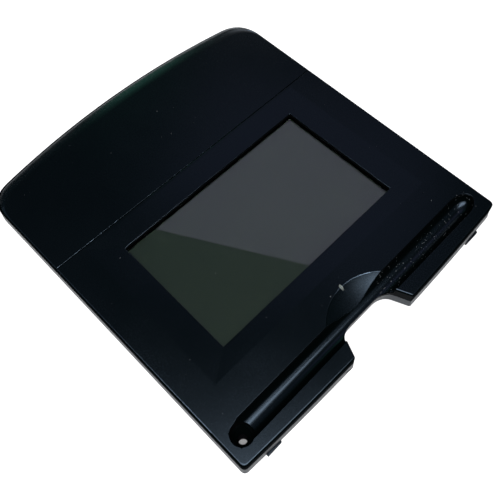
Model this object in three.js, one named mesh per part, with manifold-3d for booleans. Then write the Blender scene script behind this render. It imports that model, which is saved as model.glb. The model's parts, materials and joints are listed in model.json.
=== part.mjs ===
// Desk signature pad: a flat black slab with a 5-inch display window, a pen trough along its front edge,
// and the display stack and electronics inside. Millimetres, +Z up, +Y away from the user.
// The origin is under the middle of the slab, on the surface that its four rubber feet stand on.
import * as THREE from "three";
import { mergeVertices } from "three/addons/utils/BufferGeometryUtils.js";
import Module from "manifold-3d";

const wasm = await Module();
wasm.setup();

// ---- Driving dimensions -------------------------------------------------------------------------

// Heights of the case.
const CASE_BOTTOM = 2.5;
const PARTING = 8.5;
const DECK = 14.5;
const WALL = 2.2;
const FLOOR_TOP = CASE_BOTTOM + 2;
const CEILING = DECK - WALL;
const CAVITY_BOTTOM = PARTING - 1;
const GAP = 0.3;
const FIT = 0.2;
// How far a joined body runs into its neighbour, and a half width that clears the whole pad.
const OVERLAP = 0.5;
const BEYOND = 200;

// Outline of the case in plan: straight sides that spread towards the back, bowed front, arched back.
const FRONT_Y = -96;
const BACK_Y = 96;
const FRONT_HALF_WIDTH = 83.7;
const SIDE_TAPER = 0.0163;
const FRONT_BOW_RADIUS = 1615;
const BACK_ARC_RADIUS = 415;
const FRONT_CORNER = 2.4;
const BACK_CORNER = 12;
const INNER_CORNER_LOSS = WALL - 0.6;
const EDGE_RADIUS = 1;
const ROLL_LENGTH = 12;
const FLARE = 1.1;
const FLARE_TOP = PARTING - 0.6;
const UNDER_CHAMFER = 0.7;

// Seam between the display housing and the rear cover.
const SEAM_Y = 28;
const LIP = { halfX: 75, root: 3, length: 4, thickness: 1.2 };

// Display window and the shallow picture-frame recess around it.
const WINDOW = { halfX: 56, y0: -52.9, y1: 14.3 };
const FRAME = { halfX: 69.4, y0: -62.4, y1: 26.4 };
const FRAME_DEPTH = 0.7;

// Pen trough, the well at its left end, the finger dish and the finger notch.
const TROUGH_Y = -83.3;
const TROUGH_RADIUS = 5.2;
const TROUGH_START = -73.6;
const TROUGH_NOSE_START = 70;
const TROUGH_NOSE_LENGTH = 9.3;
const TROUGH_WALL = 1.6;
const WELL = { x: -75.1, y: -83.9, radius: 5, funnelTop: 6.6, funnelBottom: 5.4, funnelRadius: 3.2 };
const WELL_BASE = FLOOR_TOP + GAP;
const DRAIN = { x: -75.6, y: -84.8, radius: 1.9 };
const DISH_X = -0.5;
const DISH_Y = -96.9;
const DISH_RIM_RADIUS = 26.5;
const DISH_SPHERE_RADIUS = 54.2;
const NOTCH = { x: -0.7, front: 19.5, shoulder: 16.3, shoulderY: -88.6, inner: 8, innerY: -84.2 };
const NOTCH_SWEEP = { rise: 3.2, lean: 1.6, run: 3.2 };
const NOTCH_WALL = 2;
const LINING_HALF_X = 82;

// Display stack, from the glass down.
const GLASS = { halfX: 60, y0: -57, y1: 18.4, top: 11.5, thickness: 1.1 };
const GASKET = { top: 12.1, thickness: 0.4, overlap: 0.8 };
const PANEL = { halfX: 57.5, y0: -54.6, y1: 15.4, top: 10.2, thickness: 1.2 };
const BACKLIGHT = { top: 8.8, thickness: 1.6 };
const TRAY = { halfX: 58.4, y0: -55.5, y1: 16.3, base: 6.7, rim: 9.1, sheet: 0.4 };
const SENSOR = { halfX: 59, y0: -58, y1: 20, top: 6.5, thickness: 0.8 };
const SHIELD = { halfX: 58, y0: -57, y1: 16, top: 5.5, thickness: 0.3 };
const REST_TOP = 5;

// Main board, its connectors and its fastenings.
const BOARD = { halfX: 46, y0: 33, y1: 86, bottom: 6, thickness: 1.2 };
const BOARD_TOP = BOARD.bottom + BOARD.thickness;
const BOARD_POST_RADIUS = 2.6;
const BOARD_SCREWS = [-40, 40].flatMap((x) => [38, 78].map((y) => ({ x, y })));
const FFC_Y = 42;
const FFC = { depth: 4.4, height: 1.5, endCheek: 1.5 };
const FFC_LINES = { lcd: { x: -18, width: 24 }, digitizer: { x: 20, width: 16 } };
const RIBBON_THICKNESS = 0.3;
const LATCH = { length: 2.6, thickness: 0.8, swingRoom: 0.3 };
const SOCKET = { halfX: 4.1, bottom: 4.7, top: 8.2, length: 9, wall: 0.4 };
const SOCKET_BACK_Y = BACK_Y - 1.2;

// Screws that close the case, and the rubber feet.
const CASE_SCREWS = [
  { x: 75, y: -70 },
  { x: 75, y: 12 },
  { x: 56, y: 78 },
];
const SCREW = { head: 2.6, headHeight: 1.7, shank: 1.25, seat: 5.5, tip: 11.2, recess: 0.9 };
const BOSS = { radius: 3.6, bore: 1.6, counterbore: 3, top: PARTING - 0.2, upperBottom: PARTING + 0.3 };
const SMALL_SCREW = { head: 2, headHeight: 1.2, shank: 0.95, tip: 4.9, recess: 0.6 };
const FOOT = { x: 68.8, width: 8, depth: 8, frontY: -96.4, height: 2.3 };
const REAR_FOOT = { x: 68, y: 66, radius: 5 };
const PEDESTAL_TOP = 3.4;

// Facets of round surfaces.
const ROUND = 28;
const FINE = 44;
const SMALL_ROUND = 16;
const CORNER_STEPS = 5;
const BOW_STEPS = 4;
const ARC_STEPS = 8;

// ---- Materials ----------------------------------------------------------------------------------

const materials = {
  black_abs: { color: 0x101218, roughness: 0.38, metalness: 0 },
  glass: { color: 0x2a2f2e, roughness: 0.05, metalness: 0 },
  foam: { color: 0x0a0a0a, roughness: 0.9, metalness: 0 },
  lcd: { color: 0x1c211f, roughness: 0.2, metalness: 0 },
  diffuser: { color: 0xe8e8e2, roughness: 0.5, metalness: 0 },
  steel: { color: 0xb8bab8, roughness: 0.35, metalness: 0.9 },
  circuit_board: { color: 0x1f5a34, roughness: 0.5, metalness: 0 },
  chip: { color: 0x161616, roughness: 0.55, metalness: 0 },
  connector: { color: 0xd9d2bf, roughness: 0.5, metalness: 0 },
  latch: { color: 0x2c2620, roughness: 0.5, metalness: 0 },
  ribbon: { color: 0xd8dadb, roughness: 0.4, metalness: 0 },
  rubber: { color: 0x14101a, roughness: 0.85, metalness: 0 },
  screw: { color: 0x3a3b3f, roughness: 0.35, metalness: 0.9 },
};

const pad = new THREE.Group();

// Adds one named piece. The shape is a manifold solid or a three.js geometry.
function addPiece(name, look, shape, parent = pad) {
  const geometry = shape.isBufferGeometry ? shape : geometryOf(shape);
  const mesh = new THREE.Mesh(geometry, new THREE.MeshStandardMaterial(materials[look]));
  mesh.name = name;
  parent.add(mesh);
  return mesh;
}

// ---- Solids -------------------------------------------------------------------------------------

function solidOf(geometry) {
  const bare = geometry.index ? geometry.toNonIndexed() : geometry.clone();
  bare.deleteAttribute("normal");
  bare.deleteAttribute("uv");
  const merged = mergeVertices(bare, 1e-4);
  return new wasm.Manifold(
    new wasm.Mesh({
      numProp: 3,
      vertProperties: merged.attributes.position.array,
      triVerts: new Uint32Array(merged.index.array),
    }),
  );
}

function geometryOf(solid) {
  const mesh = solid.getMesh();
  const geometry = new THREE.BufferGeometry();
  geometry.setAttribute("position", new THREE.BufferAttribute(mesh.vertProperties, mesh.numProp));
  geometry.setIndex(new THREE.BufferAttribute(mesh.triVerts, 1));
  return geometry;
}

function boxGeometry(x0, x1, y0, y1, z0, z1) {
  const geometry = new THREE.BoxGeometry(x1 - x0, y1 - y0, z1 - z0);
  return geometry.translate((x0 + x1) / 2, (y0 + y1) / 2, (z0 + z1) / 2);
}

function box(x0, x1, y0, y1, z0, z1) {
  return solidOf(boxGeometry(x0, x1, y0, y1, z0, z1));
}

// A rectangle that is symmetric about the middle plane, as a slab from z0 to z1.
function slab(rectangle, z0, z1, grow = 0) {
  const halfX = rectangle.halfX + grow;
  return box(-halfX, halfX, rectangle.y0 - grow, rectangle.y1 + grow, z0, z1);
}

// An upright cylinder or cone.
function post(x, y, radius, z0, z1, topRadius = radius, sides = SMALL_ROUND) {
  const geometry = new THREE.CylinderGeometry(topRadius, radius, z1 - z0, sides);
  return solidOf(geometry.rotateX(Math.PI / 2).translate(x, y, (z0 + z1) / 2));
}

// The finger notch as an upright body from z0 to z1.
function notchBody(grow, z0, z1) {
  const geometry = new THREE.ExtrudeGeometry(notchShape(grow), {
    depth: z1 - z0,
    bevelEnabled: false,
    curveSegments: 8,
  });
  return solidOf(geometry.translate(NOTCH.x, 0, z0));
}

// A profile drawn in the YZ plane and drawn out along X from x0 to x1.
function drawnAlongX(points, x0, x1) {
  const shape = new THREE.Shape(points.map(([y, z]) => new THREE.Vector2(y, z)));
  const geometry = new THREE.ExtrudeGeometry(shape, { depth: x1 - x0, bevelEnabled: false });
  const alongX = new THREE.Matrix4().set(0, 0, 1, x0, 1, 0, 0, 0, 0, 1, 0, 0, 0, 0, 0, 1);
  return solidOf(geometry.applyMatrix4(alongX));
}

// A closed body through levels of equal point count, each a closed plan outline at its height.
function loft(levels) {
  const count = levels[0].points.length;
  const positions = levels.flatMap(({ z, points }) => points.flatMap((p) => [p.x, p.y, z]));
  const faces = [];
  for (let level = 0; level + 1 < levels.length; level++) {
    for (let i = 0; i < count; i++) {
      const here = level * count + i;
      const next = level * count + ((i + 1) % count);
      faces.push(here, next, next + count, here, next + count, here + count);
    }
  }
  const topStart = (levels.length - 1) * count;
  for (const [a, b, c] of THREE.ShapeUtils.triangulateShape(levels[0].points, [])) faces.push(c, b, a);
  for (const [a, b, c] of THREE.ShapeUtils.triangulateShape(levels.at(-1).points, [])) {
    faces.push(topStart + a, topStart + b, topStart + c);
  }
  const geometry = new THREE.BufferGeometry();
  geometry.setAttribute("position", new THREE.Float32BufferAttribute(positions, 3));
  geometry.setIndex(faces);
  return solidOf(geometry);
}

// ---- Case outline -------------------------------------------------------------------------------

// The plan outline, with each wall moved in by its inset (out when negative).
function outline(inset, backInset, cornerLoss = 0) {
  const frontY = (x) => FRONT_Y + inset + (x * x) / (2 * FRONT_BOW_RADIUS);
  const backY = (x) => BACK_Y - backInset - (x * x) / (2 * BACK_ARC_RADIUS);
  const halfWidth = (y) => FRONT_HALF_WIDTH + SIDE_TAPER * (y - FRONT_Y) - inset;
  const frontX = halfWidth(FRONT_Y);
  const backX = halfWidth(backY(FRONT_HALF_WIDTH));
  const frontCorner = new THREE.Vector2(frontX, frontY(frontX));
  const backCorner = new THREE.Vector2(backX, backY(backX));
  const frontRadius = FRONT_CORNER - cornerLoss;
  const backRadius = BACK_CORNER - cornerLoss;

  const right = [];
  const bowEnd = frontX - frontRadius;
  for (let i = 0; i < BOW_STEPS; i++) {
    const x = (bowEnd * i) / BOW_STEPS;
    right.push(new THREE.Vector2(x, frontY(x)));
  }
  right.push(
    ...new THREE.QuadraticBezierCurve(
      new THREE.Vector2(bowEnd, frontY(bowEnd)),
      frontCorner,
      new THREE.Vector2(halfWidth(frontCorner.y + frontRadius), frontCorner.y + frontRadius),
    ).getPoints(CORNER_STEPS),
  );
  const arcStart = backX - backRadius;
  right.push(
    ...new THREE.QuadraticBezierCurve(
      new THREE.Vector2(halfWidth(backCorner.y - backRadius), backCorner.y - backRadius),
      backCorner,
      new THREE.Vector2(arcStart, backY(arcStart)),
    ).getPoints(CORNER_STEPS),
  );
  for (let i = 1; i <= ARC_STEPS; i++) {
    const x = arcStart * (1 - i / ARC_STEPS);
    right.push(new THREE.Vector2(x, backY(x)));
  }
  const left = right.slice(1, -1).map((p) => new THREE.Vector2(-p.x, p.y));
  return [...right, ...left.reverse()];
}

// The rear edge rolls down as a quarter ellipse from the deck to the parting line.
function rollInset(share) {
  return ROLL_LENGTH * (1 - Math.sqrt(1 - share * share));
}

// How far the rounded top edge stands in at height z.
function edgeInset(z) {
  const rise = Math.max(0, z - (DECK - EDGE_RADIUS));
  return EDGE_RADIUS - Math.sqrt(EDGE_RADIUS * EDGE_RADIUS - rise * rise);
}

const ROLL_SHARES = [0, 0.35, 0.65, 0.85, 0.95, 1];

function upperSkin() {
  return loft(
    ROLL_SHARES.map((share) => {
      const z = PARTING + share * (DECK - PARTING);
      return { z, points: outline(edgeInset(z), rollInset(share)) };
    }),
  );
}

function upperCavity() {
  const levels = [0, 0.6, 1].map((share) => ({
    z: PARTING + share * (CEILING - PARTING),
    points: outline(WALL, WALL + rollInset(share) * 0.9, INNER_CORNER_LOSS),
  }));
  levels.unshift({ z: CAVITY_BOTTOM, points: levels[0].points });
  return loft(levels);
}

function lowerSkin() {
  const top = PARTING - GAP;
  return loft([
    { z: CASE_BOTTOM, points: outline(UNDER_CHAMFER - FLARE, UNDER_CHAMFER - FLARE) },
    { z: CASE_BOTTOM + UNDER_CHAMFER, points: outline(-FLARE, -FLARE) },
    { z: FLARE_TOP, points: outline(0, 0) },
    { z: top, points: outline(0, 0) },
  ]);
}

function lowerCavity() {
  return loft([
    { z: FLOOR_TOP, points: outline(WALL, WALL, INNER_CORNER_LOSS) },
    { z: PARTING + 1, points: outline(WALL, WALL, INNER_CORNER_LOSS) },
  ]);
}

// ---- Front features, as cutters and as the walls that line them ----------------------------------

// A pen-shaped body along the trough: round rod, round-nosed at its right end.
function troughBody(radius) {
  const length = TROUGH_NOSE_START - TROUGH_START;
  const rod = new THREE.CylinderGeometry(radius, radius, length, ROUND).rotateZ(Math.PI / 2);
  rod.translate(TROUGH_START + length / 2, TROUGH_Y, DECK);
  const noseLength = TROUGH_NOSE_LENGTH + radius - TROUGH_RADIUS;
  const profile = [new THREE.Vector2(0, -1), new THREE.Vector2(radius, -1)];
  for (let i = 0; i < 8; i++) {
    const angle = (i / 8) * (Math.PI / 2);
    profile.push(new THREE.Vector2(radius * Math.cos(angle), noseLength * Math.sin(angle)));
  }
  profile.push(new THREE.Vector2(0, noseLength));
  const nose = new THREE.LatheGeometry(profile, ROUND).rotateZ(-Math.PI / 2);
  nose.translate(TROUGH_NOSE_START, TROUGH_Y, DECK);
  return solidOf(rod).add(solidOf(nose));
}

// The finger dish: a cap of a sphere that reaches the middle of the trough and stops there.
function dishCap(extra) {
  const centreZ = DECK + Math.sqrt(DISH_SPHERE_RADIUS ** 2 - DISH_RIM_RADIUS ** 2);
  const radius = DISH_SPHERE_RADIUS + extra;
  const reach = DISH_RIM_RADIUS + 6;
  const profile = [];
  for (let i = 0; i <= 10; i++) {
    const r = (reach * i) / 10;
    profile.push(new THREE.Vector2(r, -Math.sqrt(radius * radius - r * r)));
  }
  profile.push(new THREE.Vector2(0, profile.at(-1).y));
  const cap = new THREE.LatheGeometry(profile, FINE).rotateX(Math.PI / 2).translate(DISH_X, DISH_Y, centreZ);
  return solidOf(cap).intersect(box(-BEYOND, BEYOND, TROUGH_Y, 0, 0, BEYOND));
}

// The finger notch in the front edge, with S-curved sides.
function notchShape(grow) {
  const shape = new THREE.Shape();
  const front = FRONT_Y - 5;
  const inner = NOTCH.innerY + grow;
  const slope = (NOTCH.front - NOTCH.shoulder) / (NOTCH.shoulderY - FRONT_Y);
  const frontX = NOTCH.shoulder + slope * (NOTCH.shoulderY - front) + grow;
  const shoulderX = NOTCH.shoulder + grow;
  shape.moveTo(-frontX, front);
  shape.lineTo(frontX, front);
  shape.lineTo(shoulderX, NOTCH.shoulderY);
  const bendX = shoulderX - NOTCH_SWEEP.lean;
  const bendY = NOTCH.shoulderY + NOTCH_SWEEP.rise;
  const runX = NOTCH.inner + NOTCH_SWEEP.run + grow;
  shape.bezierCurveTo(bendX, bendY, runX, inner, NOTCH.inner, inner);
  shape.lineTo(-NOTCH.inner, inner);
  shape.bezierCurveTo(-runX, inner, -bendX, bendY, -shoulderX, NOTCH.shoulderY);
  return shape;
}

// The well, whose bottom is a funnel down to the drain hole.
function wellCutter() {
  const profile = [
    new THREE.Vector2(0, WELL.funnelBottom),
    new THREE.Vector2(WELL.funnelRadius, WELL.funnelBottom),
    new THREE.Vector2(WELL.radius, WELL.funnelTop),
    new THREE.Vector2(WELL.radius, DECK + 1),
    new THREE.Vector2(0, DECK + 1),
  ];
  const well = new THREE.LatheGeometry(profile, ROUND).rotateX(Math.PI / 2);
  return solidOf(well.translate(WELL.x, WELL.y, 0)).add(drainCutter());
}

function drainCutter() {
  return post(DRAIN.x, DRAIN.y, DRAIN.radius, CASE_BOTTOM - 1, WELL.funnelBottom + OVERLAP);
}

// ---- Case ---------------------------------------------------------------------------------------

function mirroredPairs(list) {
  return list.flatMap(({ x, y }) => [
    { x: -x, y },
    { x, y },
  ]);
}

function upperShell() {
  const skin = upperSkin();
  const room = box(-BEYOND, BEYOND, -BEYOND, BEYOND, FLOOR_TOP + GAP, DECK);
  let lining = troughBody(TROUGH_RADIUS + TROUGH_WALL).add(dishCap(TROUGH_WALL));
  const belowParting = box(-LINING_HALF_X, LINING_HALF_X, FRONT_Y + WALL, SEAM_Y, WELL_BASE, PARTING + 1);
  lining = lining.intersect(skin.add(belowParting)).intersect(room);
  const notchLining = notchBody(NOTCH_WALL, PARTING, DECK).intersect(skin);
  let shell = skin.subtract(upperCavity()).add(lining).add(notchLining);
  const wellWall = WELL.radius + TROUGH_WALL;
  shell = shell.add(post(WELL.x, WELL.y, wellWall, WELL_BASE, PARTING + 4, wellWall, ROUND));
  for (const { x, y } of mirroredPairs(CASE_SCREWS)) {
    shell = shell.add(post(x, y, BOSS.radius - 0.4, BOSS.upperBottom, CEILING + OVERLAP));
    shell = shell.subtract(post(x, y, SCREW.shank + FIT, BOSS.upperBottom - 1, SCREW.tip + GAP));
  }
  const windowCutter = loft([
    { z: CEILING - 1, points: rectangle(WINDOW) },
    { z: DECK - FRAME_DEPTH, points: rectangle(WINDOW) },
    { z: DECK, points: rectangle(FRAME) },
    { z: DECK + 1, points: rectangle(FRAME) },
  ]);
  return shell
    .subtract(windowCutter)
    .subtract(troughBody(TROUGH_RADIUS))
    .subtract(dishCap(0))
    .subtract(wellCutter())
    .subtract(notchBody(0, 0, DECK + 1));
}

function rectangle({ halfX, y0, y1 }) {
  return [
    new THREE.Vector2(-halfX, y0),
    new THREE.Vector2(halfX, y0),
    new THREE.Vector2(halfX, y1),
    new THREE.Vector2(-halfX, y1),
  ];
}

// The socket's opening in the back wall, with room around the metal shell.
function socketOpening() {
  const halfX = SOCKET.halfX + GAP;
  return box(-halfX, halfX, SOCKET_BACK_Y - SOCKET.length, BACK_Y + 5, SOCKET.bottom - GAP, SOCKET.top + GAP);
}

function lowerCase() {
  const skin = lowerSkin();
  const notchLining = notchBody(NOTCH_WALL, CASE_BOTTOM, PARTING - GAP).intersect(skin);
  let shell = skin.subtract(lowerCavity()).add(notchLining);
  for (const side of [-1, 1]) {
    const x0 = side * FOOT.x - FOOT.width / 2;
    shell = shell.add(box(x0, x0 + FOOT.width, FOOT.frontY, FOOT.frontY + 4, CASE_BOTTOM, PEDESTAL_TOP));
    const rest = side * SENSOR.halfX * 0.6;
    const restTop = REST_TOP - FIT;
    shell = shell.add(box(rest - 1, rest + 1, SHIELD.y0 + 4, SHIELD.y1 - 4, FLOOR_TOP - OVERLAP, restTop));
  }
  for (const { x, y } of mirroredPairs(CASE_SCREWS)) {
    shell = shell.add(post(x, y, BOSS.radius, CASE_BOTTOM + 0.2, BOSS.top));
    shell = shell.subtract(post(x, y, BOSS.bore, CASE_BOTTOM, BOSS.top + 1));
    shell = shell.subtract(post(x, y, BOSS.counterbore, CASE_BOTTOM - 1, SCREW.seat));
  }
  for (const { x, y } of BOARD_SCREWS) {
    shell = shell.add(post(x, y, BOARD_POST_RADIUS, FLOOR_TOP - OVERLAP, BOARD.bottom - FIT));
    shell = shell.subtract(post(x, y, SMALL_SCREW.shank + FIT, SMALL_SCREW.tip - GAP, BOARD.bottom + 1));
  }
  const wellRoom = WELL.radius + TROUGH_WALL + GAP;
  return shell
    .subtract(troughBody(TROUGH_RADIUS + TROUGH_WALL + GAP))
    .subtract(post(WELL.x, WELL.y, wellRoom, FLOOR_TOP, PARTING + 1, wellRoom, ROUND))
    .subtract(drainCutter())
    .subtract(notchBody(0, 0, DECK + 1))
    .subtract(socketOpening());
}

const shell = upperShell();
const lipBottom = CEILING - LIP.thickness - GAP;
const lipFront = SEAM_Y - LIP.root;
const underSeam = box(-LIP.halfX, LIP.halfX, lipFront, SEAM_Y + LIP.length, lipBottom, CEILING - GAP);
const lipRoot = box(-LIP.halfX, LIP.halfX, lipFront, SEAM_Y - GAP, lipBottom, CEILING + OVERLAP);
const beforeSeam = box(-BEYOND, BEYOND, -BEYOND, SEAM_Y - GAP / 2, 0, BEYOND);
addPiece("display_housing", "black_abs", shell.intersect(beforeSeam).add(underSeam).add(lipRoot));
const behindSeam = box(-BEYOND, BEYOND, SEAM_Y + GAP / 2, BEYOND, 0, BEYOND);
addPiece("rear_cover", "black_abs", shell.intersect(behindSeam).subtract(socketOpening()));
addPiece("bottom_case", "black_abs", lowerCase());

// ---- Display stack ------------------------------------------------------------------------------

const gasketHole = slab(WINDOW, 0, DECK, GASKET.overlap);
const gasket = slab(GLASS, GASKET.top - GASKET.thickness, GASKET.top, -GAP).subtract(gasketHole);
addPiece("window_gasket", "foam", gasket);
addPiece("display_window", "glass", slab(GLASS, GLASS.top - GLASS.thickness, GLASS.top));
addPiece("lcd_panel", "lcd", slab(PANEL, PANEL.top - PANEL.thickness, PANEL.top));
addPiece("backlight_unit", "diffuser", slab(PANEL, BACKLIGHT.top - BACKLIGHT.thickness, BACKLIGHT.top));
const trayInside = slab(TRAY, TRAY.base + TRAY.sheet, TRAY.rim + 1, -TRAY.sheet);
addPiece("lcd_frame", "steel", slab(TRAY, TRAY.base, TRAY.rim).subtract(trayInside));
addPiece("digitizer_board", "circuit_board", slab(SENSOR, SENSOR.top - SENSOR.thickness, SENSOR.top));
addPiece("digitizer_shield", "steel", slab(SHIELD, SHIELD.top - SHIELD.thickness, SHIELD.top));

// ---- Main board ---------------------------------------------------------------------------------

function mainBoard() {
  let board = slab(BOARD, BOARD.bottom, BOARD_TOP);
  const cut = SOCKET.halfX + GAP;
  board = board.subtract(box(-cut, cut, SOCKET_BACK_Y - SOCKET.length - GAP, BACK_Y, 0, DECK));
  for (const { x, y } of BOARD_SCREWS) {
    board = board.subtract(post(x, y, SMALL_SCREW.shank + FIT, 0, DECK));
  }
  return board;
}

addPiece("main_board", "circuit_board", mainBoard());

function addChip(name, x, y, size, height) {
  const bottom = BOARD_TOP + FIT;
  const half = size / 2;
  addPiece(name, "chip", boxGeometry(x - half, x + half, y - half, y + half, bottom, bottom + height));
}

addChip("controller_chip", -16, 62, 14, 1.3);
addChip("interface_chip", 14, 66, 8, 1);
const crystal = new THREE.CylinderGeometry(1.7, 1.7, 1.8, ROUND).rotateX(Math.PI / 2);
addPiece("quartz_crystal", "steel", crystal.translate(24, 66, BOARD_TOP + FIT + 0.9));

// A connector body with a slot that opens towards the display, and a flap that clamps the ribbon.
function addRibbonConnector(name, { x, width }) {
  const bottom = BOARD_TOP + FIT;
  const top = bottom + FFC.height;
  const y0 = FFC_Y - FFC.depth / 2;
  const y1 = FFC_Y + FFC.depth / 2;
  const halfX = width / 2;
  const slotHalfX = halfX - FFC.endCheek;
  const latchFront = y1 - LATCH.length;
  const latchBottom = bottom + 1;
  const recessFloor = latchBottom - FIT - LATCH.swingRoom;
  const body = box(x - halfX, x + halfX, y0, y1, bottom, top)
    .subtract(box(x - slotHalfX, x + slotHalfX, y0 - 1, y1 - 1, bottom + 0.4, bottom + 1))
    .subtract(box(x - slotHalfX, x + slotHalfX, latchFront - GAP, y1 + 1, recessFloor, top + 1));
  addPiece(name + "_ffc_socket", "connector", body);

  const latchHalfX = slotHalfX - GAP;
  addPiece(
    name + "_ffc_latch",
    "latch",
    boxGeometry(x - latchHalfX, x + latchHalfX, latchFront, y1, latchBottom, latchBottom + LATCH.thickness),
  );
}

for (const [name, line] of Object.entries(FFC_LINES)) addRibbonConnector(name, line);

// A flat ribbon, drawn as a strip of even thickness through its bend points.
function ribbon(points, x0, x1) {
  const upper = points.map(([y, z]) => [y, z + RIBBON_THICKNESS / 2]);
  const lower = points.map(([y, z]) => [y, z - RIBBON_THICKNESS / 2]);
  return drawnAlongX([...lower, ...upper.reverse()], x0, x1);
}

const ribbonEnd = [FFC_Y - FFC.depth / 2 + 0.6, BOARD_TOP + FIT + 0.7];
const lcdRibbon = ribbon(
  [[PANEL.y1 + GAP, 9.6], [TRAY.y1 + 4, 9.6], [BOARD.y0, 8.4], ribbonEnd],
  FFC_LINES.lcd.x - FFC_LINES.lcd.width / 2 + 2.2,
  FFC_LINES.lcd.x + FFC_LINES.lcd.width / 2 - 2.2,
);
addPiece("lcd_ribbon", "ribbon", lcdRibbon);
const sensorRibbon = ribbon(
  [[SENSOR.y1 + GAP, 6.1], [SENSOR.y1 + 5, 6.6], [BOARD.y0 - 2, 7.9], ribbonEnd],
  FFC_LINES.digitizer.x - FFC_LINES.digitizer.width / 2 + 2.2,
  FFC_LINES.digitizer.x + FFC_LINES.digitizer.width / 2 - 2.2,
);
addPiece("digitizer_ribbon", "ribbon", sensorRibbon);

// The cable socket: a metal shell that opens to the back, and the contact tongue in it.
const socketFront = SOCKET_BACK_Y - SOCKET.length;
const hollow = SOCKET.halfX - SOCKET.wall;
const hollowBottom = SOCKET.bottom + SOCKET.wall;
const hollowTop = SOCKET.top - SOCKET.wall;
const socketBlock = box(-SOCKET.halfX, SOCKET.halfX, socketFront, SOCKET_BACK_Y, SOCKET.bottom, SOCKET.top);
const socketHollow = box(-hollow, hollow, socketFront - 1, SOCKET_BACK_Y + 1, hollowBottom, hollowTop);
addPiece("cable_socket_shell", "steel", socketBlock.subtract(socketHollow));
const insertHalfX = hollow - FIT;
const insertBottom = hollowBottom + FIT;
const insertTop = hollowTop - FIT;
const tongueZ = (insertBottom + insertTop) / 2;
const tongueHalfX = insertHalfX - 0.8;
const tongueBack = SOCKET_BACK_Y - 0.6;
const base = box(-insertHalfX, insertHalfX, socketFront + FIT, socketFront + 2, insertBottom, insertTop);
const tongue = box(-tongueHalfX, tongueHalfX, socketFront + 1, tongueBack, tongueZ - 0.4, tongueZ + 0.4);
addPiece("cable_socket_insert", "chip", base.add(tongue));

// ---- Fasteners and feet --------------------------------------------------------------------------

// A pan-head screw with a cross recess. It stands head down at the origin, with its tip up.
function screwSolid({ head, headHeight, shank, recess }, length) {
  const arm = head * 0.62;
  const slot = head * 0.14;
  const shoulder = headHeight * 0.4;
  const taper = headHeight + length - 1;
  return post(0, 0, head * 0.86, 0, shoulder, head)
    .add(post(0, 0, head, shoulder, headHeight))
    .add(post(0, 0, shank, headHeight, taper, shank, 12))
    .add(post(0, 0, shank, taper, taper + 1, shank * 0.5, 12))
    .subtract(box(-arm, arm, -slot, slot, -1, recess))
    .subtract(box(-slot, slot, -arm, arm, -1, recess));
}

const caseScrew = screwSolid(SCREW, SCREW.tip - SCREW.seat + FIT);
const caseScrewNames = ["front", "middle", "rear"].flatMap((row) => [row + "_left", row + "_right"]);
mirroredPairs(CASE_SCREWS).forEach(({ x, y }, i) => {
  const screw = addPiece("case_screw_" + caseScrewNames[i], "screw", caseScrew);
  screw.position.set(x, y, SCREW.seat - FIT - SCREW.headHeight);
});

const boardScrew = screwSolid(SMALL_SCREW, BOARD_TOP + FIT - SMALL_SCREW.tip);
BOARD_SCREWS.forEach(({ x, y }, i) => {
  const screw = addPiece("board_screw_" + (i + 1), "screw", boardScrew);
  screw.rotation.x = Math.PI;
  screw.position.set(x, y, BOARD_TOP + FIT + SMALL_SCREW.headHeight);
});

for (const [side, sign] of [["left", -1], ["right", 1]]) {
  const frontPad = new THREE.BoxGeometry(FOOT.width, FOOT.depth, FOOT.height);
  frontPad.translate(sign * FOOT.x, FOOT.frontY + FOOT.depth / 2, FOOT.height / 2);
  addPiece("rubber_foot_front_" + side, "rubber", frontPad);
  const rearPad = new THREE.CylinderGeometry(REAR_FOOT.radius, REAR_FOOT.radius, FOOT.height, ROUND);
  rearPad.rotateX(Math.PI / 2).translate(sign * REAR_FOOT.x, REAR_FOOT.y, FOOT.height / 2);
  addPiece("rubber_foot_rear_" + side, "rubber", rearPad);
}

export default pad;
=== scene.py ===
import json
import math

import bmesh
import bpy
from mathutils import Matrix, Vector


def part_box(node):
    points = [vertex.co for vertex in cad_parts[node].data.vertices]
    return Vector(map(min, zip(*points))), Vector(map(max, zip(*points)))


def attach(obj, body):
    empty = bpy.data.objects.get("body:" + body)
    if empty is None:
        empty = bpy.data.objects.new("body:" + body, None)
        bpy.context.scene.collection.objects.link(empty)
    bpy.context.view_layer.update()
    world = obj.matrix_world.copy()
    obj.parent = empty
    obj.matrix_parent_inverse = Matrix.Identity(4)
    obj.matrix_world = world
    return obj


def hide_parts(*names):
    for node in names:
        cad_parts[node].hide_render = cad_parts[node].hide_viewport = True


# Looks for a desk signature pad: fine shells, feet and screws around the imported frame, with procedural
# materials, a pale floor and soft studio light. Shapes are made in millimetres and scaled at the end.

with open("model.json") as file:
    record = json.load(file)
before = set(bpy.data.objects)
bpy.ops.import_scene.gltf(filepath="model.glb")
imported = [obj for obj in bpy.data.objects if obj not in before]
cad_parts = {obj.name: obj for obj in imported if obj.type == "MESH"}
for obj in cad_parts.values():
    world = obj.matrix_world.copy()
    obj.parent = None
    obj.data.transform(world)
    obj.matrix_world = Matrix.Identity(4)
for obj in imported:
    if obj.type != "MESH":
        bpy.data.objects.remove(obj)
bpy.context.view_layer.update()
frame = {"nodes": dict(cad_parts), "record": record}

MM = 0.001


def box_mm(node):
    """The lower and upper corner of a CAD node's box, in millimetres."""
    low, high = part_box(node)
    return low / MM, high / MM


# ---- Dimensions ---------------------------------------------------------------------------------

_, housing_high = box_mm("display_housing")
case_low, case_high = box_mm("bottom_case")
_, cover_high = box_mm("rear_cover")
socket_low, socket_high = box_mm("cable_socket_shell")
foot_low, foot_high = box_mm("rubber_foot_front_right")
board_low, _ = box_mm("main_board")

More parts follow.
